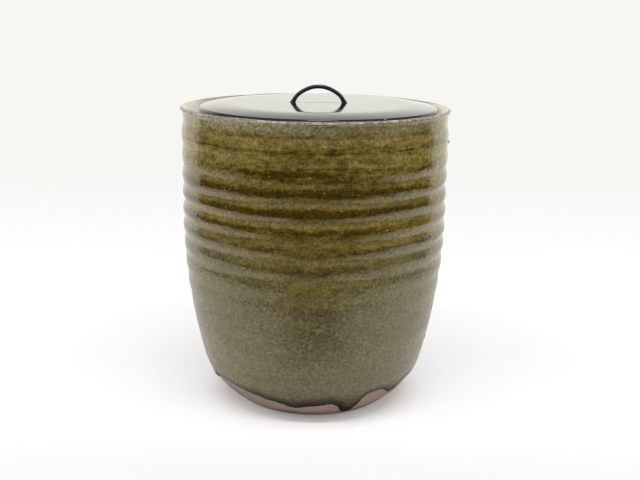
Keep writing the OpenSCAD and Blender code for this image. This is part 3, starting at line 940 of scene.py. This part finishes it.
def lid_board():
    shoulder_r = LID_R - LID_NOSE
    flat_r = np.linspace(LID_AXIS_R, LID_FLAT_R, LID_FLAT_POINTS)
    flat = np.stack([flat_r, np.full_like(flat_r, LID_TOP)], 1)
    t = np.linspace(0, 1, LID_SHOULDER_POINTS)[1:]
    shoulder = np.stack([mix(LID_FLAT_R, shoulder_r, t), LID_TOP - LID_DROP * t * mix(LID_CREASE, 1, t)], 1)
    turn = np.radians(np.linspace(LID_NOSE_TURN, 0, LID_NOSE_POINTS))
    nose_z = LID_TOP - LID_DROP - LID_NOSE * (1 - np.sin(turn))
    nose = np.stack([shoulder_r + LID_NOSE * np.cos(turn), nose_z], 1)
    groove_out, groove_in = LID_RING_R + GLUE_GAP, LID_RING_R - LID_RING_W - GLUE_GAP
    groove_z = SEAT_Z + LID_RING_LET
    under = rounded([(LID_R, SEAT_Z + LID_EDGE_H), (LID_R, SEAT_Z),
                     (groove_out, SEAT_Z), (groove_out, groove_z),
                     (groove_in, groove_z), (groove_in, SEAT_Z), (LID_AXIS_R, SEAT_Z)],
                    [0, LID_EDGE_ROUND, LID_GROOVE_EDGE, LID_GROOVE_ROUND,
                     LID_GROOVE_ROUND, LID_GROOVE_EDGE, 0])
    profile = np.vstack([flat, shoulder, nose, under])
    grid = profile_grid(profile[::-1], LID_COLUMNS, LID_SHIFT)
    piece = grid_piece("lid_board_lacquer", grid, lid_lacquer, "closed")
    x, y, z = grid[..., 0] - LID_SHIFT, grid[..., 1], grid[..., 2]
    seam = bell(y, 0, SEAM_W) * (np.abs(x) < HANDLE_SPAN / 2 - SEAM_END) * (z > LID_TOP - SEAM_REACH)
    set_attributes(piece, {"seam": seam})
    return piece


def lid_ring():
    low, high = SEAT_Z - LID_RING_H, SEAT_Z + LID_RING_LET
    out, back = LID_RING_R, LID_RING_R - LID_RING_W
    middle = mix(back, out, 0.5)
    section = rounded([(middle, high), (back, high), (back, low), (out, low), (out, high), (middle, high)],
                      [0, LID_RING_TOP_ROUND, LID_RING_ROUND, LID_RING_ROUND, LID_RING_TOP_ROUND, 0])[:-1]
    grid = profile_grid(section, LID_RING_COLUMNS, LID_SHIFT)
    return grid_piece("lid_locating_ring", grid, handle_lacquer, "joined")


def squarish(wave):
    return np.sign(wave) * np.abs(wave) ** HANDLE_SQUARENESS


def lid_handle():
    half = HANDLE_SPAN / 2
    bow_r = (half * math.tan(HANDLE_LEAN) - HANDLE_RISE) / (1 / math.cos(HANDLE_LEAN) - 1)
    leg = (half - bow_r * math.sin(HANDLE_LEAN)) / math.cos(HANDLE_LEAN)
    turn = np.linspace(-HANDLE_LEAN, HANDLE_LEAN, BOW_POINTS)
    bow = np.stack([bow_r * np.sin(turn), HANDLE_RISE - bow_r + bow_r * np.cos(turn)], 1)
    down = np.linspace(leg + LEG_PAST, LEG_START, LEG_POINTS)
    leg_dir = np.array([math.cos(HANDLE_LEAN), -math.sin(HANDLE_LEAN)])
    right = bow[-1] + down[::-1, None] * leg_dir
    left = (bow[-1] + down[:, None] * leg_dir) * (-1, 1)
    path = np.vstack([left, bow, right])
    bulge = LEG_BULGE * np.sin(math.pi * np.clip(path[:, 1] / LEG_BULGE_H, 0, 1))
    path[:, 0] += np.sign(path[:, 0]) * bulge
    along = np.gradient(path, axis=0)
    out = np.stack([-along[:, 1], along[:, 0]], 1) / np.linalg.norm(along, axis=1, keepdims=True)
    # Section, thicker on its lower side at the feet
    turn_round = around(HANDLE_COLUMNS)
    flare = FOOT_FLARE * bell(np.maximum(path[:, 1:], 0), 0, FOOT_FLARE_H)
    thick = squarish(np.cos(turn_round))
    thick = thick * np.where(thick < 0, HANDLE_T / 2 + flare, HANDLE_T / 2)
    wide = HANDLE_W / 2 * squarish(np.sin(turn_round))
    x = LID_SHIFT + path[:, :1] + out[:, :1] * thick
    z = LID_TOP + path[:, 1:] + out[:, 1:] * thick
    grid = np.stack([x, np.broadcast_to(wide, x.shape), np.maximum(z, LID_TOP - FOOT_SUNK)], -1)
    return grid_piece("lid_bow_handle", grid[:, ::-1], handle_lacquer, "closed")


pieces = [
    (glaze_coat(), "jar", "outer_glaze", "ash_glaze"),
    (clay_body(), "jar", "clay_jar", "clay"),
    (inner_coat(), "jar", "inner_glaze", "ash_glaze"),
    (lid_board(), "lid", "lid_board", "lacquered_wood"),
    (lid_ring(), "lid", "lid_ring", "lacquered_wood"),
    (lid_handle(), "lid", "lid_handle", "lacquered_wood"),
]
for piece, body, node, slot in pieces:
    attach(piece, body)
    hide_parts(node)


# Table, surroundings, lamps and camera, in metres

TABLE_EDGES = (-0.54, 0.52, -0.190, 0.700)
APRON_EDGES = (-3.0, 3.0, -3.0, 0.700)
APRON_Z = -0.0006
TABLE_TONES = [(0.935, 0.935, 0.925), (0.955, 0.955, 0.945)]
# Painted shade: a darker strip on the table in front of the jar
FRONT_SHADE_STRIP = (0.66, 0.66, 0.65)
# Painted shade that only the glaze sees
MIRRORED_DARK = (0.10, 0.10, 0.10)
TABLE_CLOUDS = (3.0, 2.0, 0.5)
# Front strip of painted shade: its back and front edge, and how much fainter it is to the camera
STRIP_BACK, STRIP_FRONT = (-0.055, -0.12), (-0.188, -0.150)
STRIP_FAINTER = 0.45
# Painted shade seen only in the glaze: the table darker in front, between the sides, and round the foot
DARKER_FRONT, DARKER_SIDES, DARKER_FOOT = (-0.090, -0.135), (0.095, 0.030), (0.080, 0.058)
# Glow of the table, with its share by the foot and away from it; the smaller share by the foot is a painted
# contact shadow
GLOW = (1, 1, 0.99, 1)
GLOW_SPAN = (0.050, 0.075, 0.14, 0.50)
# World light by the height of its direction
SKY = [(0.17, (1.09, 1.085, 1.005)), (0.25, (0.93, 0.925, 0.865)),
       (0.46, (0.70, 0.685, 0.65)), (0.70, (0.30, 0.30, 0.295))]
# Dim light low in front and at the sides, with where it ends to the back and upwards
DIM_SKY = (0.03, 0.03, 0.03)
DIM_BACK, DIM_UP = (0.54, 0.34), (0.62, 0.36)
# What the camera sees of the world
BACKDROP = (0.925, 0.92, 0.89)
# Lamps: name, place, aim, width and height, watts, whether the jar mirrors it
LAMPS = [
    ("key_strip", (0, -1.0, 2.2), (0, 0, 0.1), (2.4, 0.15), 28.0, False),
    ("ceiling_strip", (0.08, -0.40, 2.2), (0, 0, 0.1), (0.65, 0.10), 7.0, True),
    ("ceiling_strip_right", (1.40, 0.40, 2.2), (0, 0, 0.1), (0.23, 0.04), 0.9, True),
    ("left_softbox", (-1.6, -0.3, 0.9), (0, 0, 0.05), (1.2, 0.8), 9.5, False),
    ("right_softbox", (1.6, -0.3, 0.9), (0, 0, 0.05), (1.2, 0.8), 8.5, False),
    ("front_softbox", (0, -1.4, 0.8), (0, 0, 0.1), (2.2, 1.2), 5.5, False),
]
CAMERA_PLACE = (0, -0.577, 0.2402)
CAMERA_YAW = math.radians(0.37)
CAMERA_PITCH = math.radians(14.03)
CAMERA_ROLL = math.radians(0.77)
LENS_MM = 54.34
SENSOR_MM = 36.0
CLIP_START = 0.01


def make_sheet(name, material, edges, height):
    left, right, front, back = edges
    corners = [(left, front, height), (right, front, height), (right, back, height), (left, back, height)]
    mesh = bpy.data.meshes.new(name)
    mesh.from_pydata(corners, [], [(0, 1, 2, 3)])
    mesh.materials.append(material)
    sheet = link(bpy.data.objects.new(name, mesh))
    return sheet


def table_material():
    """Pale table. Its front strip and the part by the foot look darker in the glaze than to the camera;
    these, and the lesser glow by the foot, are painted shade.
    """
    material, g = new_material("pale_table")
    path = g.node("ShaderNodeLightPath")
    camera_ray, glossy_ray = path.outputs["Is Camera Ray"], path.outputs["Is Glossy Ray"]
    colour = g.ramp(g.noise(*TABLE_CLOUDS), zip(NOISE_STOPS, TABLE_TONES))
    x, y, _ = g.axes(g.place())
    aside = g.math("ABSOLUTE", x)
    off = g.node("ShaderNodeVectorMath", {0: g.place()}, operation="LENGTH").outputs["Value"]
    # Painted shade: a darker strip in front, fainter to the camera
    strip = g.times(g.span(y, *STRIP_BACK), g.span(y, *STRIP_FRONT))
    faint = g.minus(1.0, g.times(camera_ray, STRIP_FAINTER))
    colour = g.blend(g.times(strip, faint), colour, FRONT_SHADE_STRIP)
    # Painted shade seen only by glossy rays: in front and round the foot
    darker = g.times(g.span(y, *DARKER_FRONT), g.span(aside, *DARKER_SIDES))
    darker = g.math("MAXIMUM", darker, g.span(off, *DARKER_FOOT))
    darker = g.times(darker, glossy_ray)
    colour = g.blend(darker, colour, MIRRORED_DARK)
    paper = g.node("ShaderNodeBsdfDiffuse", {"Color": colour})
    glow = g.node("ShaderNodeEmission", {"Color": GLOW, "Strength": 1.0})
    # Less glow round the foot, a painted contact shadow
    seen = g.times(g.math("MAXIMUM", camera_ray, glossy_ray), g.span(off, *GLOW_SPAN))
    seen = g.times(seen, g.minus(1.0, darker))
    mixed = g.node("ShaderNodeMixShader", {0: seen, 1: paper.outputs[0], 2: glow.outputs[0]})
    g.node("ShaderNodeOutputMaterial", {"Surface": mixed.outputs[0]})
    return material


def make_table():
    material = table_material()
    make_sheet("table", material, TABLE_EDGES, 0.0)
    apron = make_sheet("table_apron", material, APRON_EDGES, APRON_Z)
    apron.visible_glossy = False
    apron.visible_diffuse = False


def make_world():
    world = bpy.data.worlds.new("studio")
    bpy.context.scene.world = world
    g = Graph(world)
    _, back, up = g.axes(g.node("ShaderNodeTexCoord").outputs["Generated"])
    dim = g.times(g.span(back, *DIM_BACK), g.span(up, *DIM_UP))
    light = g.blend(dim, g.ramp(up, SKY), DIM_SKY)
    camera_ray = g.node("ShaderNodeLightPath").outputs["Is Camera Ray"]
    ground = g.node("ShaderNodeBackground", {"Color": g.blend(camera_ray, light, BACKDROP), "Strength": 1.0})
    g.node("ShaderNodeOutputWorld", {"Surface": ground.outputs[0]})


def make_lamp(name, place, target, size, power, mirrored):
    data = bpy.data.lights.new(name, "AREA")
    data.shape = "RECTANGLE"
    data.size, data.size_y = size
    data.energy = power
    lamp = link(bpy.data.objects.new(name, data))
    lamp.rotation_mode = "QUATERNION"
    lamp.rotation_quaternion = (Vector(place) - Vector(target)).to_track_quat("Z", "Y")
    lamp.location = place
    lamp.visible_glossy = mirrored


def make_camera():
    data = bpy.data.cameras.new("photo_camera")
    data.sensor_width = SENSOR_MM
    data.lens = LENS_MM
    data.clip_start = CLIP_START
    camera = link(bpy.data.objects.new("photo_camera", data))
    level = Matrix.Rotation(-CAMERA_YAW, 4, "Z") @ Matrix.Rotation(math.pi / 2 - CAMERA_PITCH, 4, "X")
    camera.matrix_world = Matrix.Translation(CAMERA_PLACE) @ level @ Matrix.Rotation(CAMERA_ROLL, 4, "Z")
    bpy.context.scene.camera = camera


make_table()
make_world()
for lamp_values in LAMPS:
    make_lamp(*lamp_values)
make_camera()
bpy.context.scene.view_settings.view_transform = "Standard"
